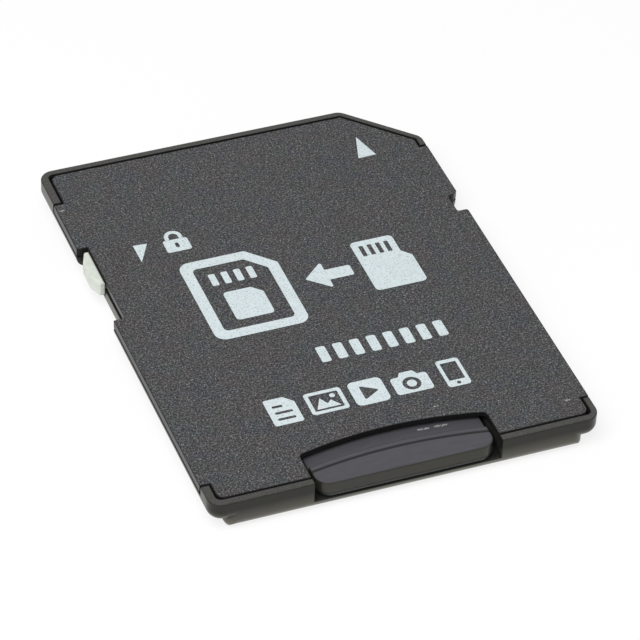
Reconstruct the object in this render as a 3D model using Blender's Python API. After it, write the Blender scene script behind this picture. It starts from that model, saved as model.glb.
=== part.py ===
"""Memory card adapter with a small memory card in it, as separate pieces.

Sizes are in millimetres and MM turns them into metres. X is across the card, +Y points
to the contact end, +Z points to the printed face, and Z = 0 is the lowest face.
"""

import math

import bmesh
import bpy
from mathutils import Matrix, Vector

MM = 0.001

# Adapter form
WIDTH = 24.0
LENGTH = 32.0
THICKNESS = 2.1
CORNER_RADIUS = 0.9
CORNER_CUT = 4.0
CUT_END_RADIUS = 0.8
RAIL_UNDERSIDE = 0.7
RAIL_INSET = 0.95
RAIL_INSET_AT_CUT = 0.5
RAIL_LOWER_RADIUS = 0.68
BELLY_BEVEL = 0.35
BELLY_RADIUS = 0.8
REAR_LOWER_RADIUS = 0.8
EDGE_BEVEL = 0.07

# Rim and cover
RIM_FRONT = 0.44
RIM_REAR = 0.47
RIM_LEFT = 0.51
RIM_RIGHT = 0.4
RIM_AT_CUT = 0.385
LEFT_RIM_FRONT_LENGTH = 3.24
LEFT_RIM_REAR_LENGTH = 1.83
RIGHT_RIM_PAST_CUT = 0.85
RIGHT_RIM_REAR_LENGTH = 1.86
SEAT_CORNER_RADIUS = 0.35
COVER_CORNER_RADIUS = 0.5
COVER_EDGE_HEIGHT = 0.6
COVER_EDGE_BEVEL = 0.03
SEAM_GAP = 0.14
SEAM_BELOW_COVER = 0.04
SIDE_GROOVE_DEPTH = 0.25
SIDE_GROOVE_HEIGHT = 0.09
REAR_WALL = 1.4
HOLLOW_RADIUS = 0.4

# Small card
CARD_WIDTH = 11.0
CARD_LENGTH = 15.0
CARD_THIN = 0.7
CARD_THICK = 1.0
CARD_BASE = 0.18
CARD_BASE_INSET = 0.03
CARD_REAR_RADIUS = 0.9
CARD_FRONT_RADIUS = 0.4
CARD_EDGE_BEVEL = 0.04
NARROW_WIDTH = 9.7
SHOULDER_START = 5.1
TOOTH_WIDTH = 0.7
TOOTH_END = 6.45
NOTCH_END = 7.2
SIDE_EDGE_RADIUS = 0.2
TOOTH_RADIUS = 0.1
RIDGE_AT_SIDES = 1.68
RIDGE_RADIUS = 30.0
RIDGE_BEVEL = 0.09
CARD_PAD_COUNT = 8
CARD_PAD_PITCH = 1.1
CARD_PAD_WIDTH = 0.8
CARD_PAD_LENGTH = 2.9
CARD_PAD_RADIUS = 0.12
CARD_PAD_SETBACK = 1.1
LONG_PADS = (4, 6)
LONG_PAD_EXTRA = 0.3
CARD_PAD_METAL = 0.025
CARD_PAD_GAP = 0.02

# Slot and finger recess
SLOT_FLOOR = 0.72
SLOT_SIDE_GAP = 0.26
CARD_FLOOR_GAP = 0.1
CARD_TOP_GAP = 0.28
CARD_REAR_SETBACK = 0.05
CARD_STOP_GAP = 0.1
RECESS_HALF_WIDTH = 5.78
RECESS_DEPTH = 3.25
RECESS_ARC_RADIUS = 25.0
RECESS_CORNER_RADIUS = 0.3

# Contacts of the adapter, numbered as on any such card
RIGHT_PAD_MARGIN = 2.625
LEFT_PAD_MARGIN = 2.25
EVEN_PADS = (9, 1, 2, 3, 4, 5, 6)
LAST_PAD_STEPS = (2.425, 1.7)
PAD_WIDTH = 1.7
NARROW_PADS = {7: 1.3, 8: 1.0}
PAD_SETBACK = 0.8
CUT_PAD_SETBACK = 3.1
WINDOW_MARGIN = 0.1
WINDOW_REAR = 5.5
CUT_WINDOW_REAR = 6.6
CONTACT_METAL = 0.15
CONTACT_GAP = 0.02
GROOVE_SIDE_GAP = 0.03
NECK_SETBACK = 0.4
NECK_TAPER = 0.3
LEAD_WIDTH = 0.6
STUB_LENGTH = 2.8
TO_CARD_PAD = {9: 1, 1: 2, 2: 3, 4: 4, 5: 5, 6: 6, 7: 7, 8: 8}

# Sprung fingers and the pocket below them
FINGER_WIDTH = 0.5
FAN_FRONT = 1.6
FAN_REAR = 3.35
FINGER_ROOT = 1.65
FINGER_LAP = 0.4
FINGER_FLAT = 0.7
FINGER_DROP = 0.08
FINGER_SLOPE = 1.8
CREST_GAP = 0.02
CREST_HALF_FLAT = 0.2
CREST_SHOULDER = 0.5
CREST_FALL = 0.055
FINGER_TIP = 0.95
SPRING_POCKET_FLOOR = 0.3
SPRING_POCKET_SIDE = 0.45
SPRING_POCKET_PAST_TIP = 0.55
SPRING_POCKET_UNDER_CARRIER = 1.35

# Contact carrier and its room
CARRIER_ROOM_WALL = 1.6
CARRIER_ROOM_FRONT = 5.8
CARRIER_GAP = 0.08
CARRIER_TOP_GAP = 0.04
CARRIER_PLATE = 0.38
CARRIER_RADIUS = 0.3
STOP_THICKNESS = 0.9
STOP_SETBACK = 0.02
STOP_END_INSET = 0.4
CARRIER_RIB = 0.6
CARRIER_RIB_COUNT = 3
CARRIER_RIB_PITCH = 7.2
CARRIER_RIB_INSET = 0.2

# Pockets beside the slot
POCKET_FLOOR = 0.7
POCKET_COUNT = 3
POCKET_WALL = 0.7
POCKET_FRONT_WALL = 0.75
LEFT_POCKET_WALL = 0.9
RIGHT_POCKET_WALL = 0.75

# Latch spring
LATCH_METAL = 0.12
LATCH_LOW = 1.0
LATCH_HIGH = 1.5
LATCH_SETBACK = 0.7
LATCH_CREST = 7.15
LATCH_CREST_GAP = 0.03
LATCH_CREST_HALF_FLAT = 0.15
LATCH_SHOULDER = 0.5
LATCH_FALL = 0.12
LATCH_ROOT = 5.2
LATCH_STRAIGHT = 1.6
LATCH_SEAT = 1.2
LATCH_TIP = 2.1
LATCH_TIP_SETBACK = 0.2
LATCH_POCKET_MARGIN = 0.3

# Write-protect slider and its notch
NOTCH_START = 7.85
NOTCH_LENGTH = 7.0
NOTCH_DEPTH = 0.7
CHANNEL_DEPTH = 0.6
CHANNEL_BELOW_SEAM = 0.13
CHANNEL_ABOVE_SEAM = 0.24
CHANNEL_END = 0.15
SLIDER_START = 0.28
SLIDER_LENGTH = 3.1
SLIDER_LEAD = 0.85
SLIDER_TAIL = 0.8
SLIDER_EDGE_GAP = 0.02
SLIDER_END_DEPTH = 0.3
SLIDER_END_RADIUS = 0.1
SLIDER_BREAK_RADIUS = 0.4
SLIDER_ABOVE_RAIL = 0.32
SLIDER_BELOW_TOP = 0.09
SLIDER_GAP = 0.04
SLIDER_BEVEL = 0.1
FLANGE_SETBACK = 0.2

# Latch notch on the right side
SIDE_NOTCH_START = 10.1
SIDE_NOTCH_LENGTH = 1.6
SIDE_NOTCH_DEPTH = 0.7
SIDE_NOTCH_FRONT_LIP = 0.3
SIDE_NOTCH_REAR_LIP = 0.12
SIDE_NOTCH_RADIUS = 0.15

# Facets, and how far cutters and joined shapes reach past a face
ARC_STEPS = 8
BOW_STEPS = 24
SMOOTH_ANGLE = math.radians(15)
CLEAR = 1.0
OVERLAP = 0.1

# Places worked out from the sizes above
SIDE = WIDTH / 2
FRONT = LENGTH / 2
REAR = -LENGTH / 2
ABOVE = THICKNESS + CLEAR
COVER_UNDERSIDE = THICKNESS - COVER_EDGE_HEIGHT
CASE_TOP = COVER_UNDERSIDE - SEAM_BELOW_COVER
CARD_UNDERSIDE = SLOT_FLOOR + CARD_FLOOR_GAP
CARD_REAR = REAR + CARD_REAR_SETBACK
CARD_FRONT = CARD_REAR + CARD_LENGTH
CARD_STOP = CARD_FRONT + CARD_STOP_GAP
COVER_CEILING = CARD_UNDERSIDE + CARD_THIN + CARD_TOP_GAP
SLOT_SIDE = CARD_WIDTH / 2 + SLOT_SIDE_GAP
HOLLOW_REAR = REAR + REAR_WALL
ROOM_SIDE = SIDE - CARRIER_ROOM_WALL
ROOM_FRONT = FRONT - CARRIER_ROOM_FRONT
CONTACT_TOP = RAIL_UNDERSIDE + CONTACT_METAL
FINGER_CREST = CARD_FRONT - CARD_PAD_SETBACK - CARD_PAD_LENGTH / 2
LATCH_BACK = SLOT_SIDE + LATCH_SETBACK
NOTCH_WALL = -SIDE + NOTCH_DEPTH
NOTCH_FRONT = FRONT - NOTCH_START
NOTCH_REAR = NOTCH_FRONT - NOTCH_LENGTH
CHANNEL_LOW = CASE_TOP - CHANNEL_BELOW_SEAM
CHANNEL_HIGH = CASE_TOP + CHANNEL_ABOVE_SEAM


def clear_scene():
    for thing in list(bpy.data.objects):
        bpy.data.objects.remove(thing, do_unlink=True)


def collection(name):
    made = bpy.data.collections.new(name)
    bpy.context.scene.collection.children.link(made)
    return made


def material(name, colour, roughness, metallic=0.0):
    made = bpy.data.materials.new(name)
    made.use_nodes = True
    shader = made.node_tree.nodes["Principled BSDF"]
    shader.inputs["Base Color"].default_value = (*colour, 1.0)
    shader.inputs["Roughness"].default_value = roughness
    shader.inputs["Metallic"].default_value = metallic
    return made


def rounded(corners):
    """The plan points of a closed outline whose corners are (x, y, radius)."""
    points = []
    count = len(corners)
    for i, (x, y, radius) in enumerate(corners):
        here = Vector((x, y))
        if radius == 0:
            points.append(here)
            continue
        back = (Vector(corners[i - 1][:2]) - here).normalized()
        ahead = (Vector(corners[(i + 1) % count][:2]) - here).normalized()
        half = back.angle(ahead) / 2
        centre = here + (back + ahead).normalized() * radius / math.sin(half)
        start = here + back * radius / math.tan(half) - centre
        end = here + ahead * radius / math.tan(half) - centre
        sweep = start.angle_signed(end)
        steps = max(2, round(ARC_STEPS * abs(sweep) / (math.pi / 2)))
        for step in range(steps + 1):
            turn = Matrix.Rotation(-sweep * step / steps, 2)
            points.append(centre + turn @ start)
    return points


def arc(start, end, radius):
    """Points from start to end on an arc that bulges to the left of that direction."""
    start, end = Vector(start), Vector(end)
    along = end - start
    middle = (start + end) / 2
    inward = Vector((along.y, -along.x)).normalized()
    centre = middle + inward * math.sqrt(radius**2 - along.length_squared / 4)
    sweep = (start - centre).angle_signed(end - centre)
    turns = [-sweep * step / BOW_STEPS for step in range(BOW_STEPS + 1)]
    return [centre + Matrix.Rotation(turn, 2) @ (start - centre) for turn in turns]


def strip(line, width):
    """The outline of a strip of even width along a line of points."""
    line = [Vector(point) for point in line]
    left, right = [], []
    for i, point in enumerate(line):
        before = line[max(i - 1, 0)]
        after = line[min(i + 1, len(line) - 1)]
        first = (point - before if i else after - point).normalized()
        second = (after - point if after != point else point - before).normalized()
        normal = Vector((-first.y - second.y, first.x + second.x)).normalized()
        reach = width / 2 / normal.dot(Vector((-first.y, first.x)))
        left.append(point + normal * reach)
        right.append(point - normal * reach)
    return right + left[::-1]


def prism(name, points, low, high, low_bevel=(0.0, 0), high_bevel=(0.0, 0)):
    """A filled flat curve extruded from low to high, with bevels of (size, segments)."""
    curve = bpy.data.curves.new(name, "CURVE")
    curve.dimensions = "2D"
    curve.fill_mode = "BOTH"
    curve.extrude = (high - low) / 2 * MM
    spline = curve.splines.new("POLY")
    spline.points.add(len(points) - 1)
    for spline_point, (x, y) in zip(spline.points, points):
        spline_point.co = (x * MM, y * MM, 0.0, 1.0)
    spline.use_cyclic_u = True
    holder = bpy.data.objects.new(name, curve)
    holder.location.z = (high + low) / 2 * MM
    bpy.context.scene.collection.objects.link(holder)
    bpy.context.view_layer.update()
    graph = bpy.context.evaluated_depsgraph_get()
    mesh = bpy.data.meshes.new_from_object(holder.evaluated_get(graph))
    mesh.transform(holder.matrix_world)
    bpy.data.objects.remove(holder)
    bpy.data.curves.remove(curve)

    shape = bmesh.new()
    shape.from_mesh(mesh)
    bmesh.ops.remove_doubles(shape, verts=shape.verts, dist=1e-4 * MM)
    flat = math.radians(0.5)
    bmesh.ops.dissolve_limit(shape, angle_limit=flat, verts=shape.verts, edges=shape.edges)
    bmesh.ops.recalc_face_normals(shape, faces=shape.faces)
    for height, (size, segments) in ((low, low_bevel), (high, high_bevel)):
        if size:
            bevel_level(shape, height * MM, size * MM, segments)
    shape.to_mesh(mesh)
    shape.free()
    return mesh


def bevel_level(shape, level, size, segments):
    """Round the edges that lie in one level plane."""
    rim = [
        edge
        for edge in shape.edges
        if all(abs(corner.co.z - level) < 1e-3 * MM for corner in edge.verts)
    ]
    bmesh.ops.bevel(
        shape,
        geom=rim,
        offset=size,
        offset_type="OFFSET",
        segments=segments,
        profile=0.5,
        affect="EDGES",
        clamp_overlap=True,
    )


def boxes(name, spans):
    """One mesh of separate boxes, each (x low, x high, y low, y high, z low, z high)."""
    shape = bmesh.new()
    for x0, x1, y0, y1, z0, z1 in spans:
        size = Matrix.Diagonal(((x1 - x0) * MM, (y1 - y0) * MM, (z1 - z0) * MM, 1.0))
        middle = Vector((x0 + x1, y0 + y1, z0 + z1)) / 2 * MM
        bmesh.ops.create_cube(shape, size=1.0, matrix=Matrix.Translation(middle) @ size)
    mesh = bpy.data.meshes.new(name)
    shape.to_mesh(mesh)
    shape.free()
    return mesh


def piece(mesh, look):
    """A part of the adapter, named as its mesh."""
    made = bpy.data.objects.new(mesh.name, mesh)
    PARTS.objects.link(made)
    mesh.materials.append(look)
    return made


def combine(target, mesh, operation):
    tool = bpy.data.objects.new(mesh.name, mesh)
    CUTTERS.objects.link(tool)
    tool.hide_render = True
    tool.display_type = "WIRE"
    change = target.modifiers.new(mesh.name, "BOOLEAN")
    change.operation = operation
    change.solver = "EXACT"
    change.object = tool


def cut(target, mesh):
    combine(target, mesh, "DIFFERENCE")


def join(target, mesh):
    combine(target, mesh, "UNION")


def settle(target):
    """Apply the cuts and joins, then shade the rounded stretches smooth."""
    bpy.context.view_layer.update()
    graph = bpy.context.evaluated_depsgraph_get()
    mesh = bpy.data.meshes.new_from_object(target.evaluated_get(graph))
    target.modifiers.clear()
    mesh.name = target.name
    target.data = mesh
    mesh.shade_smooth()
    mesh.set_sharp_from_angle(angle=SMOOTH_ANGLE)


def form_outline(side_inset, cut_inset, radius):
    """The adapter's outline, set in from the sides and from the bevelled corner."""
    x = SIDE - side_inset
    slant = SIDE + FRONT - CORNER_CUT - math.sqrt(2) * cut_inset
    return rounded(
        [
            (-x, REAR, radius),
            (x, REAR, radius),
            (x, slant - x, CUT_END_RADIUS),
            (slant - FRONT, FRONT, CUT_END_RADIUS),
            (-x, FRONT, radius),
        ]
    )


def cover_outline(gap, side, radius):
    """The cover's outline, or its seat in the rim with gap 0 and the sides run out."""
    left = -SIDE + RIM_LEFT + gap
    right = SIDE - RIM_RIGHT - gap
    front = FRONT - RIM_FRONT - gap
    rear = REAR + RIM_REAR + gap
    slant = SIDE + FRONT - CORNER_CUT - math.sqrt(2) * (RIM_AT_CUT + gap)
    left_front = FRONT - LEFT_RIM_FRONT_LENGTH - gap
    left_rear = REAR + LEFT_RIM_REAR_LENGTH + gap
    right_front = FRONT - CORNER_CUT - RIGHT_RIM_PAST_CUT - gap
    right_rear = REAR + RIGHT_RIM_REAR_LENGTH + gap
    return rounded(
        [
            (left, rear, radius),
            (right, rear, radius),
            (right, right_rear, 0),
            (side, right_rear, 0),
            (side, right_front, 0),
            (right, right_front, 0),
            (right, slant - right, 0),
            (slant - front, front, 0),
            (left, front, radius),
            (left, left_front, 0),
            (-side, left_front, 0),
            (-side, left_rear, 0),
            (left, left_rear, 0),
        ]
    )


def side_notch_outline():
    """The latch notch: square inside, with rounded lips at the side edge."""
    inner = SIDE - SIDE_NOTCH_DEPTH
    rear_lip = SIDE_NOTCH_REAR_LIP
    front_lip = SIDE_NOTCH_FRONT_LIP
    front = FRONT - SIDE_NOTCH_START
    rear = front - SIDE_NOTCH_LENGTH
    return rounded(
        [
            (inner, rear, SIDE_NOTCH_RADIUS),
            (SIDE - rear_lip, rear, rear_lip),
            (SIDE + CLEAR, rear - rear_lip - CLEAR, 0),
            (SIDE + CLEAR, front + front_lip + CLEAR, 0),
            (SIDE - front_lip, front, front_lip),
            (inner, front, SIDE_NOTCH_RADIUS),
        ]
    )


def contact_centres():
    """Centre of each contact across the adapter, from the bevelled corner leftwards."""
    first = SIDE - RIGHT_PAD_MARGIN
    last = -SIDE + LEFT_PAD_MARGIN
    pitch = (first - last - sum(LAST_PAD_STEPS)) / (len(EVEN_PADS) - 1)
    centres = {number: first - i * pitch for i, number in enumerate(EVEN_PADS)}
    centres[7] = last + LAST_PAD_STEPS[1]
    centres[8] = last
    return centres


def contact_width(number):
    return NARROW_PADS.get(number, PAD_WIDTH)


def contact_front(number):
    return FRONT - (CUT_PAD_SETBACK if number == 9 else PAD_SETBACK)


def window_rear(number):
    return FRONT - (CUT_WINDOW_REAR if number == 9 else WINDOW_REAR)


def contact_window(number, x):
    """The opening below a contact, which runs out through the front edge."""
    half = contact_width(number) / 2 + WINDOW_MARGIN
    rear = window_rear(number)
    return (x - half, x + half, rear, FRONT + CLEAR, -CLEAR, RAIL_UNDERSIDE)


def contact_groove(number, x):
    """The slit in the case that holds the front of a contact."""
    half = contact_width(number) / 2 + GROOVE_SIDE_GAP
    front = contact_front(number) + GROOVE_SIDE_GAP
    low = RAIL_UNDERSIDE - CONTACT_GAP
    high = CONTACT_TOP + CONTACT_GAP
    return (x - half, x + half, ROOM_FRONT - OVERLAP, front, low, high)


def card_pad_x(number):
    middle = -(CARD_WIDTH - NARROW_WIDTH) / 2
    return middle + CARD_PAD_PITCH * ((CARD_PAD_COUNT + 1) / 2 - number)


def side_pockets():
    """The pockets that keep the moulding thin beside the slot."""
    front = CARD_STOP - POCKET_FRONT_WALL
    pitch = (front - HOLLOW_REAR + POCKET_WALL) / POCKET_COUNT
    left = (-ROOM_SIDE, -SLOT_SIDE - LEFT_POCKET_WALL)
    right = (LATCH_BACK + LATCH_POCKET_MARGIN + RIGHT_POCKET_WALL, ROOM_SIDE)
    spans = []
    for i in range(POCKET_COUNT):
        y = HOLLOW_REAR + i * pitch
        for x0, x1 in (left, right):
            spans.append((x0, x1, y, y + pitch - POCKET_WALL, POCKET_FLOOR, ABOVE))
    return boxes("side_pockets", spans)


def spring_pocket():
    """The hollow below the small card in which the fingers bend."""
    left = card_pad_x(CARD_PAD_COUNT) - SPRING_POCKET_SIDE
    right = card_pad_x(1) + SPRING_POCKET_SIDE
    rear = FINGER_CREST - FINGER_TIP - SPRING_POCKET_PAST_TIP
    front = CARD_STOP + SPRING_POCKET_UNDER_CARRIER
    return boxes("spring_pocket", [(left, right, rear, front, SPRING_POCKET_FLOOR, ABOVE)])


def latch_pocket():
    """The room beside the slot in which the latch bends."""
    crest = CARD_FRONT - LATCH_CREST
    outer = LATCH_BACK + LATCH_METAL / 2 + LATCH_POCKET_MARGIN
    rear = crest - LATCH_TIP - LATCH_POCKET_MARGIN
    front = crest + LATCH_ROOT - LATCH_SEAT
    low = LATCH_LOW - CONTACT_GAP
    return boxes("latch_pocket", [(SLOT_SIDE - OVERLAP, outer, rear, front, low, ABOVE)])


def latch_seat():
    """The slit that grips the latch by its root."""
    half = LATCH_METAL / 2 + CONTACT_GAP
    front = CARD_FRONT - LATCH_CREST + LATCH_ROOT + CONTACT_GAP
    rear = front - LATCH_SEAT - OVERLAP
    low = LATCH_LOW - CONTACT_GAP
    return boxes("latch_seat", [(LATCH_BACK - half, LATCH_BACK + half, rear, front, low, ABOVE)])


def slider_notch(name, low):
    return boxes(name, [(-SIDE - CLEAR, NOTCH_WALL, NOTCH_REAR, NOTCH_FRONT, low, ABOVE)])


def slider_channel(name, low, high):
    """The groove behind the notch in which the slider's flange runs."""
    left = NOTCH_WALL - OVERLAP
    right = NOTCH_WALL + CHANNEL_DEPTH
    rear = NOTCH_REAR + CHANNEL_END
    front = NOTCH_FRONT - CHANNEL_END
    return boxes(name, [(left, right, rear, front, low, high)])


def side_view_prism(name, points, middle, half):
    """A prism whose outline lies in the plane of Y and Z, centred on x = middle."""
    mesh = prism(name, points, -half, half)
    stand_up = Matrix(((0, 0, 1, 0), (1, 0, 0, 0), (0, 1, 0, 0), (0, 0, 0, 1)))
    mesh.transform(Matrix.Translation((middle * MM, 0, 0)) @ stand_up)
    return mesh


def side_grooves():
    """The shadow groove between the shells along both side edges."""
    high = COVER_UNDERSIDE + SIDE_GROOVE_HEIGHT
    inner = SIDE - SIDE_GROOVE_DEPTH
    outer = SIDE + CLEAR
    spans = [(-outer, -inner, REAR, FRONT, 0, high), (inner, outer, REAR, FRONT, 0, high)]
    return boxes("side_grooves", spans)


def rear_rounding():
    """What lies outside the rounded lower rear edge, all the way across."""
    size = REAR_LOWER_RADIUS
    outline = [(REAR - CLEAR, size), (REAR - CLEAR, -CLEAR), (REAR + size, -CLEAR)]
    for step in range(ARC_STEPS + 1):
        turn = math.pi / 2 * step / ARC_STEPS
        outline.append((REAR + size * (1 - math.sin(turn)), size * (1 - math.cos(turn))))
    return side_view_prism("rear_rounding", outline, 0, SIDE + CLEAR)


def finger_recess():
    """The arched opening in the cover over the small card's rear end."""
    x = RECESS_HALF_WIDTH
    sagitta = RECESS_ARC_RADIUS - math.sqrt(RECESS_ARC_RADIUS**2 - x**2)
    corner_y = REAR + RECESS_DEPTH - sagitta
    bow = arc((-x, corner_y), (x, corner_y), RECESS_ARC_RADIUS)
    corners = [(-x, REAR - CLEAR, 0), (*bow[0], RECESS_CORNER_RADIUS)]
    corners += [(*point, 0) for point in bow[1:-1]]
    corners += [(*bow[-1], RECESS_CORNER_RADIUS), (x, REAR - CLEAR, 0)]
    return prism("finger_recess", rounded(corners[::-1]), 0, ABOVE)


def make_bottom_case(look):
    """Lower shell: belly, rails and rim, with the slot, windows and notches cut out."""
    rails_outline = form_outline(0, 0, CORNER_RADIUS)
    underside = (RAIL_LOWER_RADIUS, ARC_STEPS)
    rails = prism(
        "bottom_case", rails_outline, RAIL_UNDERSIDE, THICKNESS, underside, (EDGE_BEVEL, 2)
    )
    case = piece(rails, look)
    belly_outline = form_outline(RAIL_INSET, RAIL_INSET_AT_CUT, BELLY_RADIUS)
    belly_top = RAIL_UNDERSIDE + RAIL_LOWER_RADIUS + OVERLAP
    join(case, prism("belly", belly_outline, 0, belly_top, (BELLY_BEVEL, 2)))
    seat = cover_outline(0, SIDE + CLEAR, SEAT_CORNER_RADIUS)
    cut(case, prism("cover_seat", seat, CASE_TOP, ABOVE))

    slot = (-SLOT_SIDE, SLOT_SIDE, REAR - CLEAR, CARD_STOP, SLOT_FLOOR, ABOVE)
    cut(case, boxes("card_slot", [slot]))
    room = (-ROOM_SIDE, ROOM_SIDE, CARD_FRONT, ROOM_FRONT, RAIL_UNDERSIDE, ABOVE)
    cut(case, boxes("carrier_room", [room]))
    cut(case, spring_pocket())
    centres = contact_centres()
    windows = [contact_window(number, x) for number, x in centres.items()]
    cut(case, boxes("contact_windows", windows))
    grooves = [contact_groove(number, x) for number, x in centres.items()]
    cut(case, boxes("contact_grooves", grooves))

    cut(case, side_pockets())
    cut(case, latch_pocket())
    cut(case, latch_seat())
    cut(case, slider_notch("slider_notch", RAIL_UNDERSIDE - OVERLAP))
    cut(case, slider_channel("slider_channel", CHANNEL_LOW, ABOVE))
    notch_low = RAIL_UNDERSIDE - OVERLAP
    cut(case, prism("side_notch", side_notch_outline(), notch_low, ABOVE))
    cut(case, rear_rounding())
    settle(case)


def make_top_cover(look):
    """Plate set in the rim, thick round its edge, with the finger recess and notches."""
    outline = cover_outline(SEAM_GAP, SIDE, COVER_CORNER_RADIUS)
    bevel = (COVER_EDGE_BEVEL, 1)
    plate = prism("top_cover", outline, COVER_UNDERSIDE, THICKNESS, high_bevel=bevel)
    cover = piece(plate, look)
    hollow = rounded(
        [
            (-SLOT_SIDE, REAR - CLEAR, 0),
            (SLOT_SIDE, REAR - CLEAR, 0),
            (SLOT_SIDE, HOLLOW_REAR, 0),
            (ROOM_SIDE, HOLLOW_REAR, HOLLOW_RADIUS),
            (ROOM_SIDE, ROOM_FRONT, HOLLOW_RADIUS),
            (-ROOM_SIDE, ROOM_FRONT, HOLLOW_RADIUS),
            (-ROOM_SIDE, HOLLOW_REAR, HOLLOW_RADIUS),
            (-SLOT_SIDE, HOLLOW_REAR, 0),
        ]
    )
    cut(cover, prism("cover_hollow", hollow, 0, COVER_CEILING))
    cut(cover, side_grooves())
    cut(cover, finger_recess())
    cut(cover, slider_notch("cover_slider_notch", 0))
    cut(cover, slider_channel("cover_slider_channel", 0, CHANNEL_HIGH))
    cut(cover, prism("cover_side_notch", side_notch_outline(), 0, ABOVE))
    settle(cover)


def make_slider(look):
    """Write-protect slider: tapered grip in the notch and a flange in the channel."""
    inner = NOTCH_WALL - SLIDER_GAP
    end_x = inner - SLIDER_END_DEPTH
    outer = -SIDE + SLIDER_EDGE_GAP
    front = NOTCH_FRONT - SLIDER_START
    rear = front - SLIDER_LENGTH
    grip = rounded(
        [
            (inner, rear, 0),
            (inner, front, 0),
            (end_x, front, SLIDER_END_RADIUS),
            (outer, front - SLIDER_LEAD, SLIDER_BREAK_RADIUS),
            (outer, rear + SLIDER_TAIL, SLIDER_BREAK_RADIUS),
            (end_x, rear, SLIDER_END_RADIUS),
        ]
    )
    low = RAIL_UNDERSIDE + SLIDER_ABOVE_RAIL
    high = THICKNESS - SLIDER_BELOW_TOP
    bevel = (SLIDER_BEVEL, 2)
    slider = piece(prism("lock_slider", grip, low, high, bevel, bevel), look)
    flange = (
        inner - OVERLAP,
        NOTCH_WALL + CHANNEL_DEPTH - SLIDER_GAP,
        rear + FLANGE_SETBACK,
        front - FLANGE_SETBACK,
        CHANNEL_LOW + SLIDER_GAP,
        CHANNEL_HIGH - SLIDER_GAP,
    )
    join(slider, boxes("slider_flange", [flange]))
    settle(slider)


def make_carrier(look):
    """Insulator over the contact leads; its rear wall stops the small card."""
    side = ROOM_SIDE - CARRIER_GAP
    front = ROOM_FRONT - CARRIER_GAP
    low = CONTACT_TOP + CONTACT_GAP
    plate_top = low + CARRIER_PLATE
    high = COVER_CEILING - CARRIER_TOP_GAP
    plate = rounded(
        [
            (-side, CARD_STOP, CARRIER_RADIUS),
            (side, CARD_STOP, CARRIER_RADIUS),
            (side, front, CARRIER_RADIUS),
            (-side, front, CARRIER_RADIUS),
        ]
    )
    carrier = piece(prism("contact_carrier", plate, low, plate_top), look)
    stop_side = side - STOP_END_INSET
    stop_rear = CARD_STOP + STOP_SETBACK
    stop_front = stop_rear + STOP_THICKNESS
    ribs_low = plate_top - OVERLAP
    stop = (-stop_side, stop_side, stop_rear, stop_front, ribs_low, high)
    join(carrier, boxes("card_stop", [stop]))
    ribs = []
    for i in range(CARRIER_RIB_COUNT):
        x = CARRIER_RIB_PITCH * (i - (CARRIER_RIB_COUNT - 1) / 2)
        rib_rear = stop_front - OVERLAP
        rib_front = front - CARRIER_RIB_INSET
        half = CARRIER_RIB / 2
        ribs.append((x - half, x + half, rib_rear, rib_front, ribs_low, high))
    join(carrier, boxes("carrier_ribs", ribs))
    settle(carrier)


def make_contact(number, x, look):
    """One flat stamped lead with a pad in its window and, for most, a spring finger."""
    pad = contact_width(number) / 2
    lead = LEAD_WIDTH / 2
    front = contact_front(number)
    neck = window_rear(number) - NECK_SETBACK
    name = f"contact_{number}"
    left = [(x - pad, front), (x - pad, neck), (x - lead, neck - NECK_TAPER)]
    right = [(x + pad, front), (x + pad, neck), (x + lead, neck - NECK_TAPER)]
    if number not in TO_CARD_PAD:
        stub_rear = ROOM_FRONT - STUB_LENGTH
        outline = [*left, (x - lead, stub_rear), (x + lead, stub_rear), *right[::-1]]
        piece(prism(name, outline, RAIL_UNDERSIDE, CONTACT_TOP), look)
        return
    half = FINGER_WIDTH / 2
    to_x = card_pad_x(TO_CARD_PAD[number])
    fan_front = ROOM_FRONT - FAN_FRONT
    fan_rear = CARD_FRONT + FAN_REAR
    root = CARD_FRONT + FINGER_ROOT
    left += [(x - lead, fan_front), (to_x - half, fan_rear), (to_x - half, root)]
    right += [(x + lead, fan_front), (to_x + half, fan_rear), (to_x + half, root)]
    contact = piece(prism(name, [*left, *right[::-1]], RAIL_UNDERSIDE, CONTACT_TOP), look)
    join(contact, finger(f"finger_{number}", to_x))
    settle(contact)


def finger(name, x):
    """The sprung end, drawn in side view and extruded across its width."""
    middle = RAIL_UNDERSIDE + CONTACT_METAL / 2
    root = CARD_FRONT + FINGER_ROOT
    top = CARD_UNDERSIDE - CREST_GAP - CONTACT_METAL / 2
    line = [
        (root + FINGER_LAP, middle),
        (root - FINGER_FLAT, middle),
        (FINGER_CREST + FINGER_SLOPE, middle - FINGER_DROP),
        (FINGER_CREST + CREST_SHOULDER, top - CREST_FALL),
        (FINGER_CREST + CREST_HALF_FLAT, top),
        (FINGER_CREST - CREST_HALF_FLAT, top),
        (FINGER_CREST - CREST_SHOULDER, top - CREST_FALL),
        (FINGER_CREST - FINGER_TIP, middle - 2 * FINGER_DROP),
    ]
    return side_view_prism(name, strip(line, CONTACT_METAL), x, FINGER_WIDTH / 2)


def make_latch(look):
    """Leaf spring held by its root beside the slot, with a crest at the small card."""
    crest_x = CARD_WIDTH / 2 + LATCH_CREST_GAP + LATCH_METAL / 2
    crest_y = CARD_FRONT - LATCH_CREST
    root = crest_y + LATCH_ROOT
    line = [
        (LATCH_BACK, root),
        (LATCH_BACK, root - LATCH_STRAIGHT),
        (crest_x + LATCH_FALL, crest_y + LATCH_SHOULDER),
        (crest_x, crest_y + LATCH_CREST_HALF_FLAT),
        (crest_x, crest_y - LATCH_CREST_HALF_FLAT),
        (crest_x + LATCH_FALL, crest_y - LATCH_SHOULDER),
        (LATCH_BACK - LATCH_TIP_SETBACK, crest_y - LATCH_TIP),
    ]
    latch = piece(prism("card_latch", strip(line, LATCH_METAL), LATCH_LOW, LATCH_HIGH), look)
    settle(latch)


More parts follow.
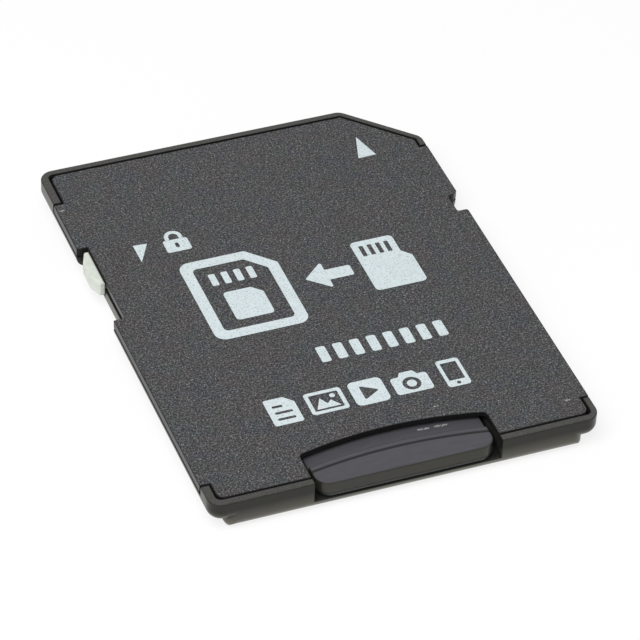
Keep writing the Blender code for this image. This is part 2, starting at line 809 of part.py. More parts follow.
def small_card_outline(inset):
    """The small card seen from above, with the tooth and notch on its right side."""
    side = CARD_WIDTH / 2 - inset
    narrow = NARROW_WIDTH - CARD_WIDTH / 2 - inset
    tooth = narrow + TOOTH_WIDTH
    slope_end = CARD_FRONT - SHOULDER_START - TOOTH_WIDTH
    return rounded(
        [
            (-side, CARD_REAR + inset, CARD_REAR_RADIUS),
            (side, CARD_REAR + inset, CARD_REAR_RADIUS),
            (side, CARD_FRONT - NOTCH_END - (side - narrow), SIDE_EDGE_RADIUS),
            (narrow, CARD_FRONT - NOTCH_END, SIDE_EDGE_RADIUS),
            (narrow, CARD_FRONT - TOOTH_END, TOOTH_RADIUS),
            (tooth, CARD_FRONT - TOOTH_END, TOOTH_RADIUS),
            (tooth, slope_end, TOOTH_RADIUS),
            (narrow, CARD_FRONT - SHOULDER_START, SIDE_EDGE_RADIUS),
            (narrow, CARD_FRONT - inset, CARD_FRONT_RADIUS),
            (-side, CARD_FRONT - inset, CARD_FRONT_RADIUS),
        ]
    )


def card_ridge(low, high):
    """The raised grip at the small card's rear, with its bowed front edge."""
    side = CARD_WIDTH / 2
    ends = CARD_REAR + RIDGE_AT_SIDES
    bow = arc((-side, ends), (side, ends), RIDGE_RADIUS)
    rear = [(-side, CARD_REAR, CARD_REAR_RADIUS), (side, CARD_REAR, CARD_REAR_RADIUS)]
    outline = rounded(rear + [(*point, 0) for point in bow[::-1]])
    return prism("card_ridge", outline, low, high, high_bevel=(RIDGE_BEVEL, 2))


def make_small_card(body_look, base_look, pad_look):
    """Moulded small card with its raised rear ridge, its board and its pads."""
    board_top = CARD_UNDERSIDE + CARD_BASE
    thin_top = CARD_UNDERSIDE + CARD_THIN
    bevel = (CARD_EDGE_BEVEL, 2)
    outline = small_card_outline(0)
    body = piece(prism("small_card_body", outline, board_top, thin_top, (0.0, 0), bevel), body_look)
    join(body, card_ridge(board_top + OVERLAP, CARD_UNDERSIDE + CARD_THICK))
    settle(body)

    outline = small_card_outline(CARD_BASE_INSET)
    base = piece(prism("small_card_base", outline, CARD_UNDERSIDE, board_top), base_look)
    beds = []
    for number in range(1, CARD_PAD_COUNT + 1):
        x0 = card_pad_x(number) - CARD_PAD_WIDTH / 2
        x1 = x0 + CARD_PAD_WIDTH
        y1 = CARD_FRONT - CARD_PAD_SETBACK
        y0 = y1 - CARD_PAD_LENGTH
        if number in LONG_PADS:
            y1 += LONG_PAD_EXTRA
        metal_top = CARD_UNDERSIDE + CARD_PAD_METAL
        corners = [(x, y, CARD_PAD_RADIUS) for x, y in ((x0, y0), (x1, y0), (x1, y1), (x0, y1))]
        name = f"card_pad_{number}"
        settle(piece(prism(name, rounded(corners), CARD_UNDERSIDE, metal_top), pad_look))
        gap = CARD_PAD_GAP
        beds.append((x0 - gap, x1 + gap, y0 - gap, y1 + gap, 0, metal_top))
    cut(base, boxes("pad_beds", beds))
    settle(base)


clear_scene()
PARTS = collection("memory_card_adapter")
CUTTERS = collection("cutters")
CASE_LOOK = material("case_plastic", (0.085, 0.086, 0.082), 0.5)
COVER_LOOK = material("cover_plastic", (0.09, 0.09, 0.094), 0.62)
SLIDER_LOOK = material("slider_plastic", (0.74, 0.77, 0.72), 0.4)
CARRIER_LOOK = material("carrier_plastic", (0.05, 0.05, 0.05), 0.55)
CONTACT_LOOK = material("contact_gold", (0.83, 0.62, 0.28), 0.28, 1.0)
LATCH_LOOK = material("latch_steel", (0.6, 0.6, 0.6), 0.3, 1.0)
CARD_LOOK = material("card_plastic", (0.08, 0.08, 0.085), 0.42)
BASE_LOOK = material("card_board", (0.02, 0.022, 0.02), 0.35)
PAD_LOOK = material("pad_gold", (0.86, 0.66, 0.32), 0.25, 1.0)

make_bottom_case(CASE_LOOK)
make_top_cover(COVER_LOOK)
make_slider(SLIDER_LOOK)
make_carrier(CARRIER_LOOK)
for contact_number, contact_x in contact_centres().items():
    make_contact(contact_number, contact_x, CONTACT_LOOK)
make_latch(LATCH_LOOK)
make_small_card(CARD_LOOK, BASE_LOOK, PAD_LOOK)
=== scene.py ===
import math

import bpy
from mathutils import Matrix, Vector


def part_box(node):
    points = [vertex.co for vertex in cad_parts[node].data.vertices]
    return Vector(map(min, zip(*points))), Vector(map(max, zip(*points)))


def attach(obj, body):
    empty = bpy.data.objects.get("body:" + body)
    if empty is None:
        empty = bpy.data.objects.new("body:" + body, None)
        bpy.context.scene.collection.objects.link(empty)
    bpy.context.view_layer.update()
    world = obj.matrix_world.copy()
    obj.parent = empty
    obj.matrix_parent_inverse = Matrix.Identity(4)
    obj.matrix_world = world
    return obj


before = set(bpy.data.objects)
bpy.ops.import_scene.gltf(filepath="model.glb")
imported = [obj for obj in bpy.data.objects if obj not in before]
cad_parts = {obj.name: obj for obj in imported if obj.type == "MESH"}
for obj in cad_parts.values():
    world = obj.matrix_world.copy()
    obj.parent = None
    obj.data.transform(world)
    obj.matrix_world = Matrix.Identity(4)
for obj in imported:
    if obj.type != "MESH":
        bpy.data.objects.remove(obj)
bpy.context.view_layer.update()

# Sizes and places are in millimetres, and angles in degrees
MM = 0.001

# Camera, as the photograph was taken
PHOTO_PIXELS = 640
FOCAL_PIXELS = 3936.3
SENSOR_WIDTH = 36.0
CAMERA_PLACE = (-68.576, -167.276, 152.865)
CAMERA_AZIMUTH = 22.499
CAMERA_ELEVATION = 40.241
CAMERA_ROLL = 2.529
NEAREST_SEEN = 10.0

# Light
BACKGROUND_STRENGTH = 1.0
AMBIENT_STRENGTH = 0.32
PANEL_PLACE = (-110.0, -90.0, 250.0)
PANEL_SIZE = 220.0
PANEL_POWER = 0.8
FLOOR_SIZE = 3000.0
FLOOR_BELOW = 0.01
FLOOR_GLOW = 0.8
FLOOR_SHADE = 0.2

# Upward share of the normal where a surface starts to count as level, and where it fully does
LEVEL_START = 0.75
LEVEL_FULL = 0.97

# Agreement of the rounded and the true normal where an edge starts to show, and where it fully does
EDGE_START = 0.995
EDGE_FULL = 0.9
EDGE_SAMPLES = 6

# Painted shade in seams and cavities: the reach looked at, the openness where they start and where they
# are deep, and the grey and roughness of painted shade there and along edges
CAVITY_REACH = 0.6
CAVITY_START = 0.97
CAVITY_FULL = 0.6
CAVITY_ABOVE = 0.70
CAVITY_FADE = 0.06
CAVITY_SAMPLES = 8
PAINTED_SHADE_GREY = 0.003
PAINTED_SHADE_ROUGHNESS = 0.9

# Lumps of the moulded grains and of the cover's painted glints, and the shine that the dark plastics
# share
COVER_GRAIN = 0.11
COVER_GLINT = 0.08
CASE_GRAIN = 0.10
CARD_GRAIN = 0.07
PLASTIC_SPECULAR = 0.3

# Painted light and shade on the case's walls: pale at their foot as floor light, dark at their head as
# shade
WALL_FOOT = 0.3
WALL_HEAD = 1.5

# Small pale marks that the photograph shows, wider than they are long, and the faces they lie on
COVER_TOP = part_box("top_cover")[1].z / MM
COVER_DUST = ((3.2, -12.05), (10.65, -14.0), (-11.69, 11.97))
COVER_DUST_SIZE = 0.08
CARD_LOW_TOP = 1.52
CARD_SCUFFS = ((1.85, -13.03), (2.21, -13.06), (2.9, -13.07), (3.32, -13.12))
CARD_SCUFF_SIZE = 0.1
FLECK_SQUASH = Vector((0.6, 1.8, 1.0))
FLECK_LUMPS = 0.09
FLECK_FADE = 1.3

# Painted shade line along the small card's grip, as set back from its rear edge
CARD_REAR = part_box("small_card_body")[0].y / MM
GRIP_SHADE_SETBACK = 1.72
GRIP_SHADE_RADIUS = 30.0
GRIP_SHADE_HALF_WIDTH = 0.14
GRIP_SHADE_FULL_SHARE = 0.4

# Print
INK_THICKNESS = 0.012
ARC_STEPS = 8
LEAST_STEPS = 2
HOOP_STEPS = 12


def rgb(red, green, blue):
    return (red, green, blue, 1.0)


def grey(value):
    return rgb(value, value, value)


class Nodes:
    """A node tree with short ways to add to it."""

    def __init__(self, tree):
        self.tree = tree

    def feed(self, socket, value):
        """Links that input to another node's output, or gives it a plain value."""
        if isinstance(value, bpy.types.NodeSocket):
            self.tree.links.new(value, socket)
        else:
            socket.default_value = value

    def add(self, kind, inputs=None, **settings):
        """A new node, with its inputs given as values or as outputs to link."""
        made = self.tree.nodes.new(kind)
        for key, value in settings.items():
            setattr(made, key, value)
        for key, value in (inputs or {}).items():
            self.feed(made.inputs[key], value)
        return made

    def math(self, operation, *values, clamp=False):
        inputs = dict(enumerate(values))
        return self.add("ShaderNodeMath", inputs, operation=operation, use_clamp=clamp).outputs[0]

    def vector(self, operation, first, second):
        """A new vector, or a number where the operation is a distance or a dot product."""
        made = self.add("ShaderNodeVectorMath", {0: first, 1: second}, operation=operation)
        return made.outputs["Value" if operation in ("DISTANCE", "DOT_PRODUCT") else "Vector"]

    def height_of(self, vector):
        return self.add("ShaderNodeSeparateXYZ", {0: vector}).outputs["Z"]

    def spread(self, value, low, high, to_low=0.0, to_high=1.0):
        """Value mapped from the range low to high onto to_low to to_high, and kept in it."""
        inputs = {"Value": value, "From Min": low, "From Max": high, "To Min": to_low,
                  "To Max": to_high}
        return self.add("ShaderNodeMapRange", inputs).outputs["Result"]

    def blend(self, factor, first, second):
        """The first colour where the factor is 0, and the second where it is 1."""
        made = self.add("ShaderNodeMix", data_type="RGBA")
        factor_input, first_input, second_input = made.inputs[0], made.inputs[6], made.inputs[7]
        self.feed(factor_input, factor)
        self.feed(first_input, first)
        self.feed(second_input, second)
        return made.outputs[2]


class Finish(Nodes):
    """A material whose textures are laid out in millimetres."""

    def __init__(self, name):
        self.material = bpy.data.materials.new(name)
        self.material.use_nodes = True
        super().__init__(self.material.node_tree)
        self.shader = self.tree.nodes["Principled BSDF"]
        found = self.add("ShaderNodeTexCoord").outputs
        scaled = self.add("ShaderNodeVectorMath", {0: found["Object"], "Scale": 1 / MM},
                          operation="SCALE")
        self.place = scaled.outputs["Vector"]
        self.facing = found["Normal"]

    def put(self, name, value):
        """Gives that input of the shader a value or an output to link."""
        self.feed(self.shader.inputs[name], value)

    def noise(self, size, detail=2.0, roughness=0.5, stretch=None):
        """Noise with lumps of about that size."""
        place = self.vector("MULTIPLY", self.place, stretch) if stretch else self.place
        inputs = {"Vector": place, "Scale": 1 / size, "Detail": detail, "Roughness": roughness}
        return self.add("ShaderNodeTexNoise", inputs).outputs[0]

    def rounded_normal(self, radius):
        """The normal as if edges were rounded by that radius."""
        return self.add("ShaderNodeBevel", {"Radius": radius * MM}, samples=EDGE_SAMPLES).outputs[0]

    def level(self):
        """1 on the top and the underside, 0 on walls and roundings."""
        upright = self.math("ABSOLUTE", self.height_of(self.facing))
        return self.spread(upright, LEVEL_START, LEVEL_FULL)

    def height(self, low, high):
        """0 up to the low height, 1 from the high one on."""
        return self.spread(self.height_of(self.place), low, high)

    def edges(self, reach):
        """1 at an edge, 0 from that reach on."""
        true_normal = self.add("ShaderNodeNewGeometry").outputs["True Normal"]
        agreement = self.vector("DOT_PRODUCT", self.rounded_normal(reach), true_normal)
        return self.spread(agreement, EDGE_START, EDGE_FULL)

    def cavity_shade(self):
        """Painted shade: 1 deep in the seams and cavities above the lower roundings, 0 in the open."""
        openness = self.add("ShaderNodeAmbientOcclusion", {"Distance": CAVITY_REACH * MM},
                            samples=CAVITY_SAMPLES).outputs["AO"]
        deep = self.spread(openness, CAVITY_START, CAVITY_FULL)
        return self.math("MULTIPLY", deep, self.height(CAVITY_ABOVE - CAVITY_FADE, CAVITY_ABOVE))

    def grip_shade_line(self):
        """Painted shade: 1 on the bowed line along the small card's grip, 0 beside it."""
        centre = (0.0, CARD_REAR + GRIP_SHADE_SETBACK - GRIP_SHADE_RADIUS, 0.0)
        flat = self.vector("MULTIPLY", self.place, (1.0, 1.0, 0.0))
        outward = self.math("SUBTRACT", self.vector("DISTANCE", flat, centre), GRIP_SHADE_RADIUS)
        full_width = GRIP_SHADE_HALF_WIDTH * GRIP_SHADE_FULL_SHARE
        return self.spread(self.math("ABSOLUTE", outward), GRIP_SHADE_HALF_WIDTH, full_width)

    def flecks(self, places, z, size):
        """1 on small ragged dashes round those places at height z, 0 elsewhere."""
        place = self.vector("MULTIPLY", self.place, FLECK_SQUASH)
        ragged = self.spread(self.noise(FLECK_LUMPS), low=0.3, high=0.7, to_low=-size, to_high=size)
        marks = 0.0
        for x, y in places:
            away = self.vector("DISTANCE", place, Vector((x, y, z)) * FLECK_SQUASH)
            mark = self.spread(self.math("ADD", away, ragged), size * FLECK_FADE, size)
            marks = self.math("MAXIMUM", marks, mark)
        return marks

    def skin(self, colour, roughness, painted_shade):
        """That colour and roughness, turned black and dull as painted shade where painted_shade is 1.
        """
        self.put("Base Color", self.blend(painted_shade, colour, grey(PAINTED_SHADE_GREY)))
        dullness = self.math("MULTIPLY", painted_shade, PAINTED_SHADE_ROUGHNESS)
        self.put("Roughness", self.math("MAXIMUM", dullness, roughness))

    def relief(self, height, depth, edge):
        """Relief of that depth, and edges rounded by that radius."""
        inputs = {"Height": height, "Distance": depth * MM, "Strength": 1.0,
                  "Normal": self.rounded_normal(edge)}
        self.put("Normal", self.add("ShaderNodeBump", inputs).outputs[0])


def cover_finish():
    """Near-black plastic: a fine grain with painted glints on top, smooth cut walls painted darker as
    shade, and painted shade along edges, seams and cavities.
    """
    made = Finish("cover_grain")
    grain = made.noise(COVER_GRAIN, detail=2.0, roughness=0.6)
    glint_noise = made.noise(COVER_GLINT, detail=1.0)
    warm = made.spread(made.noise(1.5, detail=3.0, roughness=0.6), low=0.4, high=0.6)
    green = made.spread(made.noise(1.1, detail=3.0, roughness=0.6), low=0.42, high=0.6)
    pits = made.spread(grain, low=0.5, high=0.36)
    peaks = made.spread(grain, low=0.5, high=0.72)
    painted_glints = made.spread(glint_noise, low=0.64, high=0.74)
    dust = made.flecks(COVER_DUST, COVER_TOP, COVER_DUST_SIZE)
    level = made.level()
    cool = made.blend(green, rgb(0.028, 0.030, 0.041), rgb(0.029, 0.038, 0.033))
    tinted = made.blend(warm, cool, rgb(0.039, 0.034, 0.034))
    pitted = made.blend(pits, tinted, rgb(0.004, 0.004, 0.005))
    grained = made.blend(peaks, pitted, rgb(0.155, 0.155, 0.16))
    # Painted glints: pale specks where the glint noise peaks
    with_painted_glints = made.blend(painted_glints, grained, rgb(0.30, 0.30, 0.31))
    dusty = made.blend(dust, with_painted_glints, rgb(0.30, 0.30, 0.28))
    # Walls painted near-black as shade; level faces keep the grained colour
    colour = made.blend(level, grey(0.008), dusty)
    roughness = made.spread(level, 0.0, 1.0, to_low=0.33, to_high=0.52)
    # Painted shade along edges and in seams and cavities
    painted_shade = made.math("MAXIMUM", made.edges(reach=0.12), made.cavity_shade())
    made.skin(colour, roughness, painted_shade)
    made.put("Specular IOR Level", PLASTIC_SPECULAR)
    made.relief(grain, depth=0.01, edge=0.015)
    return made.material


def case_finish():
    """Smoother plastic of the lower shell, with glossy walls a little olive, painted pale at their foot
    as floor light and dark at their head as shade, and painted shade along edges, seams and cavities.
    """
    made = Finish("case_satin")
    grain = made.noise(CASE_GRAIN, detail=2.0, roughness=0.6)
    cloud = made.spread(made.noise(0.7, detail=3.0), low=0.35, high=0.65)
    peaks = made.spread(grain, low=0.45, high=0.75)
    level = made.level()
    # Walls painted pale at their foot as floor light and dark at their head as shade
    foot = made.blend(cloud, rgb(0.118, 0.118, 0.088), rgb(0.124, 0.116, 0.104))
    head = made.blend(cloud, rgb(0.012, 0.012, 0.008), rgb(0.015, 0.013, 0.012))
    lit_and_shaded_wall = made.blend(made.height(WALL_FOOT, WALL_HEAD), foot, head)
    top = made.blend(cloud, rgb(0.032, 0.033, 0.028), rgb(0.041, 0.036, 0.038))
    mottled = made.blend(peaks, top, rgb(0.09, 0.089, 0.087))
    colour = made.blend(level, lit_and_shaded_wall, mottled)
    clouded = made.math("MULTIPLY", level, cloud)
    roughness = made.spread(clouded, 0.0, 1.0, to_low=0.25, to_high=0.45)
    # Painted shade along edges and in seams and cavities
    painted_shade = made.math("MAXIMUM", made.edges(reach=0.1), made.cavity_shade())
    made.skin(colour, roughness, painted_shade)
    made.put("Specular IOR Level", PLASTIC_SPECULAR)
    made.put("Specular Tint", rgb(1.0, 1.0, 0.93))
    made.relief(grain, depth=0.004, edge=0.015)
    return made.material


def slider_finish():
    """Off-white plastic that lets a little light through, darker along its edges."""
    made = Finish("slider_white")
    cloud = made.spread(made.noise(0.5, detail=3.0), low=0.3, high=0.7)
    white = made.blend(cloud, rgb(0.60, 0.64, 0.57), rgb(0.69, 0.72, 0.66))
    made.put("Base Color", made.blend(made.edges(reach=0.08), white, rgb(0.5, 0.52, 0.42)))
    made.put("Roughness", 0.42)
    made.put("Subsurface Weight", 0.2)
    made.put("Subsurface Radius", (0.4, 0.42, 0.36))
    made.put("Subsurface Scale", MM)
    made.relief(made.noise(0.08), depth=0.003, edge=0.08)
    return made.material


def card_finish():
    """Smooth matt moulding of the small card, with a few pale scuffs near the recess, and painted shade
    on its walls, along its edges and on a line along its grip.
    """
    made = Finish("card_matt")
    streak = made.spread(made.noise(0.35, detail=3.0, stretch=(0.35, 1.6, 1.0)), low=0.3, high=0.7)
    scuffs = made.flecks(CARD_SCUFFS, CARD_LOW_TOP, CARD_SCUFF_SIZE)
    level = made.level()
    # Walls painted darker than the top as shade
    lit_and_shaded_wall = made.blend(streak, rgb(0.026, 0.026, 0.018), rgb(0.034, 0.032, 0.026))
    top = made.blend(streak, rgb(0.056, 0.056, 0.064), rgb(0.067, 0.066, 0.075))
    # Painted shade line along the grip
    grip_shaded = made.blend(made.grip_shade_line(), top, rgb(0.003, 0.003, 0.004))
    scuffed = made.blend(scuffs, grip_shaded, rgb(0.30, 0.30, 0.29))
    colour = made.blend(level, lit_and_shaded_wall, scuffed)
    roughness = made.spread(level, 0.0, 1.0, to_low=0.28, to_high=0.55)
    # Painted shade along the edges
    made.skin(colour, roughness, made.edges(reach=0.14))
    made.put("Specular IOR Level", PLASTIC_SPECULAR)
    made.relief(made.noise(CARD_GRAIN), depth=0.003, edge=0.02)
    return made.material


def board_finish():
    """Lacquered circuit board of the small card's underside."""
    made = Finish("card_lacquer")
    weave = made.noise(0.12)
    thread = made.spread(weave, low=0.35, high=0.65)
    made.put("Base Color", made.blend(thread, rgb(0.010, 0.014, 0.012), rgb(0.020, 0.026, 0.022)))
    made.put("Roughness", 0.3)
    made.relief(weave, depth=0.002, edge=0.02)
    return made.material


def carrier_finish():
    """Plain black moulding inside the case."""
    made = Finish("carrier_black")
    cloud = made.noise(0.3, detail=3.0)
    pale = made.spread(cloud, low=0.3, high=0.7)
    made.put("Base Color", made.blend(pale, grey(0.012), grey(0.022)))
    made.put("Roughness", 0.5)
    made.relief(cloud, depth=0.004, edge=0.03)
    return made.material


def metal_finish(name, stained, bright, roughness):
    """Rolled metal with fine lines along the card."""
    made = Finish(name)
    lines = made.noise(0.12, detail=4.0, roughness=0.6, stretch=(4.0, 0.25, 4.0))
    clean = made.spread(made.noise(0.9), low=0.3, high=0.75)
    smoothest = roughness * 0.75
    roughest = roughness * 1.35
    made.put("Base Color", made.blend(clean, stained, bright))
    made.put("Metallic", 1.0)
    made.put("Roughness", made.spread(lines, low=0.3, high=0.7, to_low=smoothest, to_high=roughest))
    made.relief(lines, depth=0.0015, edge=0.02)
    return made.material


def ink_finish():
    """Pale ink, thin enough for the cover's grain to show through."""
    made = Finish("print_pale")
    grain = made.noise(COVER_GRAIN, detail=2.0, roughness=0.6)
    cloud = made.spread(made.noise(0.5), low=0.3, high=0.7)
    worn = made.spread(grain, low=0.47, high=0.28)
    tint = made.blend(cloud, rgb(0.62, 0.70, 0.72), rgb(0.67, 0.75, 0.78))
    made.put("Base Color", made.blend(worn, tint, rgb(0.34, 0.41, 0.42)))
    made.put("Roughness", 0.5)
    made.relief(grain, depth=0.005, edge=0.01)
    return made.material


def dress_nodes():
    """A finish for each CAD piece, whose name is one of these with or without a number."""
    looks = {
        "bottom_case": case_finish(),
        "top_cover": cover_finish(),
        "lock_slider": slider_finish(),
        "contact_carrier": carrier_finish(),
        "contact": metal_finish("contact_plating", rgb(0.80, 0.57, 0.24), rgb(0.88, 0.68, 0.34), 0.26),
        "card_latch": metal_finish("latch_strip", rgb(0.50, 0.50, 0.49), rgb(0.62, 0.61, 0.60), 0.3),
        "small_card_body": card_finish(),
        "small_card_base": board_finish(),
        "card_pad": metal_finish("pad_plating", rgb(0.84, 0.62, 0.28), rgb(0.90, 0.72, 0.40), 0.2),
    }
    for name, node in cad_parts.items():
        for slot in node.material_slots:
            slot.material = looks[name.rstrip("_0123456789")]


def rounded(corners):
    """The points of a closed outline whose corners are (x, y, radius)."""
    points = []
    for i, (x, y, radius) in enumerate(corners):
        here = Vector((x, y))
        back = (Vector(corners[i - 1][:2]) - here).normalized()
        ahead = (Vector(corners[(i + 1) % len(corners)][:2]) - here).normalized()
        half = back.angle(ahead) / 2
        centre = here + (back + ahead).normalized() * radius / math.sin(half)
        start = here + back * radius / math.tan(half) - centre
        end = here + ahead * radius / math.tan(half) - centre
        sweep = start.angle_signed(end)
        steps = max(LEAST_STEPS, round(ARC_STEPS * abs(sweep) / (math.pi / 2)))
        for step in range(steps + 1):
            points.append(centre + Matrix.Rotation(-sweep * step / steps, 2) @ start)
    return points


def rounded_box(x0, x1, y0, y1, radius):
    return rounded([(x0, y0, radius), (x1, y0, radius), (x1, y1, radius), (x0, y1, radius)])


def card_outline(x0, x1, y0, y1, cut, radius, cut_radius):
    """A rounded box with its upper right corner cut off."""
    return rounded([(x0, y0, radius), (x1, y0, radius), (x1, y1 - cut, cut_radius),
                    (x1 - cut, y1, cut_radius), (x0, y1, radius)])


def arc(x, y, radius, sweep, steps):
    """Points round (x, y), from its right-hand side on."""
    turns = [sweep * step / steps for step in range(steps + 1)]
    return [(x + radius * math.cos(turn), y + radius * math.sin(turn)) for turn in turns]


def circle(x, y, radius):
    return arc(x, y, radius, math.tau, 4 * ARC_STEPS)[:-1]


def printed(name, loops, look, middle=(0.0, 0.0)):
    """A thin layer of ink on the cover, from closed outlines; an inner one is a hole."""
    curve = bpy.data.curves.new(name, "CURVE")
    curve.dimensions = "2D"
    curve.fill_mode = "BOTH"
    curve.extrude = INK_THICKNESS / 2 * MM
    for points in loops:
        spline = curve.splines.new("POLY")
        spline.points.add(len(points) - 1)
        for spline_point, (x, y) in zip(spline.points, points):
            spline_point.co = (x * MM, y * MM, 0.0, 1.0)
        spline.use_cyclic_u = True
    holder = bpy.data.objects.new(name + "_outline", curve)
    bpy.context.scene.collection.objects.link(holder)
    bpy.context.view_layer.update()
    graph = bpy.context.evaluated_depsgraph_get()
    mesh = bpy.data.meshes.new_from_object(holder.evaluated_get(graph))
    bpy.data.objects.remove(holder)
    bpy.data.curves.remove(curve)
    place = Vector((*middle, COVER_TOP + INK_THICKNESS / 2))
    mesh.transform(Matrix.Translation(place * MM))
    mesh.materials.clear()
    mesh.materials.append(look)
    made = bpy.data.objects.new(name, mesh)
    bpy.context.scene.collection.objects.link(made)
    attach(made, "adapter")


def print_triangles(look):
    """The insert arrow near the bevelled corner and the pointer beside the slider."""
    insert_arrow = [(8.05, 13.19), (7.42, 11.11), (8.62, 11.15)]
    printed("print_insert_arrow", [insert_arrow], look)
    lock_pointer = [(-8.69, 7.39), (-8.67, 5.75), (-7.80, 7.33)]
    printed("print_lock_pointer", [lock_pointer], look)


def print_padlock(look):
    """A plain closed padlock beside the slider."""
    x, y = -6.1, 6.05
    half_width, height, corner = 0.78, 1.15, 0.16
    key_half, key_low, key_high, key_corner = 0.12, 0.35, 0.82, 0.119
    body = rounded_box(x - half_width, x + half_width, y, y + height, corner)
    keyhole = rounded_box(x - key_half, x + key_half, y + key_low, y + key_high, key_corner)
    printed("print_padlock_body", [body, keyhole], look)
    outer, inner, straight, lap = 0.56, 0.30, 0.25, 0.02
    turn = y + height + straight
    foot = y + height - lap
    over = arc(x, turn, outer, math.pi, HOOP_STEPS)
    under = arc(x, turn, inner, math.pi, HOOP_STEPS)[::-1]
    hoop = [(x + outer, foot), *over, (x - outer, foot), (x - inner, foot), *under, (x + inner, foot)]
    printed("print_padlock_hoop", [hoop], look)


def print_card_sign(look):
    """A plain sign of a small card inside a larger one."""
    x0, x1, y0, y1, cut, stroke = -6.8, -0.9, -2.6, 4.8, 1.6, 0.72
    inner_cut = cut - stroke + stroke * math.tan(math.pi / 8)
    outer = card_outline(x0, x1, y0, y1, cut, 0.7, 0.2)
    inner = card_outline(x0 + stroke, x1 - stroke, y0 + stroke, y1 - stroke, inner_cut, 0.3, 0.1)
    printed("print_sign_large_card", [outer, inner], look)
    printed("print_sign_small_card", [card_outline(-5.05, -2.65, -1.15, 1.5, 0.6, 0.25, 0.2)], look)
    count, first, pitch, width, low, high, corner = 4, -5.35, 0.8, 0.42, 2.25, 3.35, 0.1
    for i in range(count):
        x = first + i * pitch
        contact = rounded_box(x, x + width, low, high, corner)
        printed(f"print_sign_contact_{i + 1}", [contact], look)


def print_insert_sign(look):
    """A small card of its own, and an arrow from it to the sign of the larger card."""
    tip, neck, tail, middle, head, shaft = 0.1, 1.5, 3.1, 1.1, 2.5, 0.95
    point, crook, end = 0.1, 0.05, 0.15
    arrow = rounded([(tip, middle, point), (neck, middle - head / 2, point),
                     (neck, middle - shaft / 2, crook), (tail, middle - shaft / 2, end),
                     (tail, middle + shaft / 2, end), (neck, middle + shaft / 2, crook),
                     (neck, middle + head / 2, point)])
    printed("print_insert_direction", [arrow], look)
    x0, x1, y0, y1, step, shoulder_low, shoulder_high = 3.8, 7.1, -1.25, 3.45, 0.55, 1.25, 1.85
    corner, shoulder = 0.3, 0.15
    card = rounded([(x0, y0, corner), (x1, y0, corner), (x1, shoulder_low, shoulder),
                    (x1 - step, shoulder_high, shoulder), (x1 - step, y1, corner), (x0, y1, corner)])
    count, first, pitch, width, low, high, pad_corner = 4, 4.22, 0.54, 0.28, 2.0, 3.0, 0.06
    pads = []
    for i in range(count):
        x = first + i * pitch
        pads.append(rounded_box(x, x + width, low, high, pad_corner))
    printed("print_insert_card", [card, *pads], look)


def print_ticks(look):
    """A row of short upright marks, like the contacts of a card, from right to left."""
    count, pitch, width, low, high, right, corner = 8, 1.06, 0.6, -6.35, -4.95, 6.4, 0.14
    for i in range(count):
        x = right - width - i * pitch
        printed(f"print_tick_{i + 1}", [rounded_box(x, x + width, low, high, corner)], look)


def document_sign():
    """A written sheet with a cut corner."""
    sheet = card_outline(-0.9, 0.9, -1.15, 1.15, 0.55, 0.15, 0.05)
    left, stroke, corner = -0.55, 0.2, 0.09
    feet_and_ends = ((0.35, 0.1), (-0.2, 0.55), (-0.75, 0.55))
    lines = [rounded_box(left, end, foot, foot + stroke, corner) for foot, end in feet_and_ends]
    return [[sheet, *lines]]


def picture_sign():
    """A framed picture with two hills and a sun."""
    right, top, stroke = 1.15, 0.95, 0.25
    border = rounded_box(-right, right, -top, top, 0.2)
    opening = rounded_box(stroke - right, right - stroke, stroke - top, top - stroke, 0.08)
    hills = [(-0.75, -0.55), (0.75, -0.55), (0.3, 0.05), (0.02, -0.2), (-0.3, 0.35)]
    return [[border, opening], [hills], [circle(0.5, 0.38, 0.17)]]


def play_sign():
    """A rounded plate with a triangular opening."""
    half, left, right, half_height, corner = 1.05, -0.42, 0.65, 0.62, 0.08
    plate = rounded_box(-half, half, -half, half, 0.35)
    opening = rounded([(left, -half_height, corner), (right, 0.0, corner), (left, half_height, corner)])
    return [[plate, opening]]


def camera_sign():
    """A camera body with a hump and a round lens."""
    half, low, high, corner = 1.15, -0.9, 0.6, 0.2
    hump_foot, hump_head, hump_top, crook, hump_corner = 0.6, 0.4, 0.95, 0.05, 0.08
    body = rounded([(-half, low, corner), (half, low, corner), (half, high, corner),
                    (hump_foot, high, crook), (hump_head, hump_top, hump_corner),
                    (-hump_head, hump_top, hump_corner), (-hump_foot, high, crook),
                    (-half, high, corner)])
    lens_height, ring, lens = -0.12, 0.56, 0.3
    return [[body, circle(0.0, lens_height, ring)], [circle(0.0, lens_height, lens)]]


def phone_sign():
    """A hand-held screen with one round button."""
    right, top, screen_right, screen_low, screen_top = 0.72, 1.2, 0.5, -0.65, 0.92
    body = rounded_box(-right, right, -top, top, 0.22)
    screen = rounded_box(-screen_right, screen_right, screen_low, screen_top, 0.06)
    return [[body, screen, circle(0.0, -0.92, 0.13)]]


def print_uses(look):
    """A row of plain signs of what a card holds and where it goes, each drawn round its middle."""
    y, pitch = -9.6, 2.65
    signs = {"document": document_sign, "picture": picture_sign, "play": play_sign,
             "camera": camera_sign, "phone": phone_sign}
    for i, (name, draw) in enumerate(signs.items()):
        x = (i - (len(signs) - 1) / 2) * pitch
        for part, loops in enumerate(draw()):
            printed(f"print_{name}_{part + 1}", loops, look, (x, y))


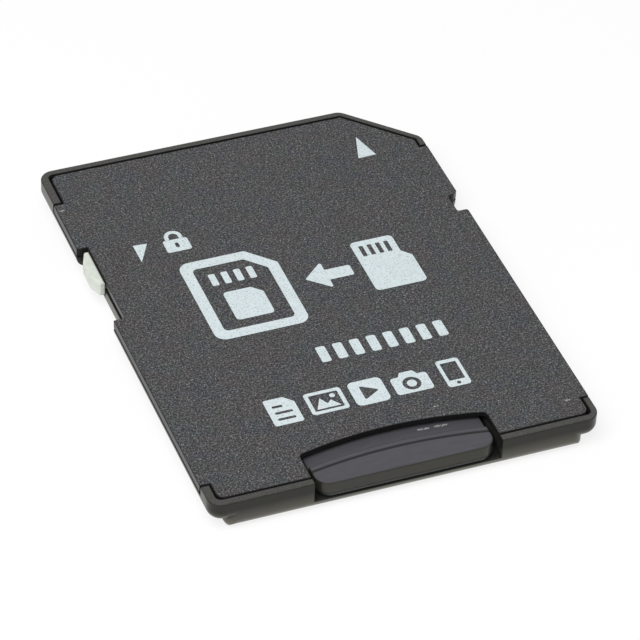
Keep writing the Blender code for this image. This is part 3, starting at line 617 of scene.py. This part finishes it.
def make_camera():
    azimuth = math.radians(CAMERA_AZIMUTH)
    elevation = math.radians(CAMERA_ELEVATION)
    roll = math.radians(CAMERA_ROLL)
    across = Vector((math.cos(azimuth), -math.sin(azimuth), 0))
    ahead = Vector((math.sin(azimuth) * math.cos(elevation),
                    math.cos(azimuth) * math.cos(elevation), -math.sin(elevation)))
    upward = across.cross(ahead)
    right = across * math.cos(roll) + upward * math.sin(roll)
    up = right.cross(ahead)
    data = bpy.data.cameras.new("camera")
    data.sensor_width = SENSOR_WIDTH
    data.lens = FOCAL_PIXELS / PHOTO_PIXELS * SENSOR_WIDTH
    data.clip_start = NEAREST_SEEN * MM
    camera = bpy.data.objects.new("camera", data)
    bpy.context.scene.collection.objects.link(camera)
    turn = Matrix((right, up, -ahead)).transposed().to_4x4()
    camera.matrix_world = Matrix.Translation(Vector(CAMERA_PLACE) * MM) @ turn
    bpy.context.scene.camera = camera


def make_world():
    """White to the camera, in reflections and through clear things, softer as a lamp."""
    world = bpy.data.worlds.new("studio")
    bpy.context.scene.world = world
    world.use_nodes = True
    world.node_tree.nodes.clear()
    sky = Nodes(world.node_tree)
    path = sky.add("ShaderNodeLightPath").outputs
    seen = sky.math("ADD", path["Is Camera Ray"], path["Is Glossy Ray"])
    seen = sky.math("ADD", seen, path["Is Transmission Ray"], clamp=True)
    ambient = sky.add("ShaderNodeBackground", {"Color": grey(1.0), "Strength": AMBIENT_STRENGTH})
    shown = sky.add("ShaderNodeBackground", {"Color": grey(1.0), "Strength": BACKGROUND_STRENGTH})
    mixed = sky.add("ShaderNodeMixShader", {0: seen, 1: ambient.outputs[0], 2: shown.outputs[0]})
    sky.add("ShaderNodeOutputWorld", {"Surface": mixed.outputs[0]})


def make_panel():
    """One large soft panel above, on the left of the camera, turned to the object."""
    data = bpy.data.lights.new("panel", "AREA")
    data.shape = "SQUARE"
    data.size = PANEL_SIZE * MM
    data.energy = PANEL_POWER
    panel = bpy.data.objects.new("panel", data)
    panel.location = Vector(PANEL_PLACE) * MM
    panel.rotation_euler = (-panel.location).to_track_quat("-Z", "Y").to_euler()
    bpy.context.scene.collection.objects.link(panel)


def floor_finish():
    """Paper with a glow that lights nothing by itself, clear from below."""
    look = bpy.data.materials.new("floor_paper")
    look.use_nodes = True
    look.node_tree.nodes.clear()
    made = Nodes(look.node_tree)
    paper = made.add("ShaderNodeBsdfDiffuse", {"Color": grey(FLOOR_SHADE)}).outputs[0]
    glow = made.add("ShaderNodeEmission", {"Strength": FLOOR_GLOW}).outputs[0]
    both = made.add("ShaderNodeAddShader", {0: paper, 1: glow}).outputs[0]
    below = made.add("ShaderNodeNewGeometry").outputs["Backfacing"]
    clear = made.add("ShaderNodeBsdfTransparent").outputs[0]
    sided = made.add("ShaderNodeMixShader", {0: below, 1: both, 2: clear}).outputs[0]
    made.add("ShaderNodeOutputMaterial", {"Surface": sided})
    look.cycles.emission_sampling = "NONE"
    return look


def make_floor():
    """Plain pale floor that keeps the object's shadow."""
    half = FLOOR_SIZE / 2 * MM
    level = -FLOOR_BELOW * MM
    mesh = bpy.data.meshes.new("floor")
    corners = [(-half, -half, level), (half, -half, level), (half, half, level), (-half, half, level)]
    mesh.from_pydata(corners, [], [(0, 1, 2, 3)])
    mesh.materials.append(floor_finish())
    floor = bpy.data.objects.new("floor", mesh)
    bpy.context.scene.collection.objects.link(floor)


make_camera()
make_world()
make_panel()
make_floor()
dress_nodes()
ink = ink_finish()
print_triangles(ink)
print_padlock(ink)
print_card_sign(ink)
print_insert_sign(ink)
print_ticks(ink)
print_uses(ink)

bpy.context.scene.view_settings.view_transform = "Standard"
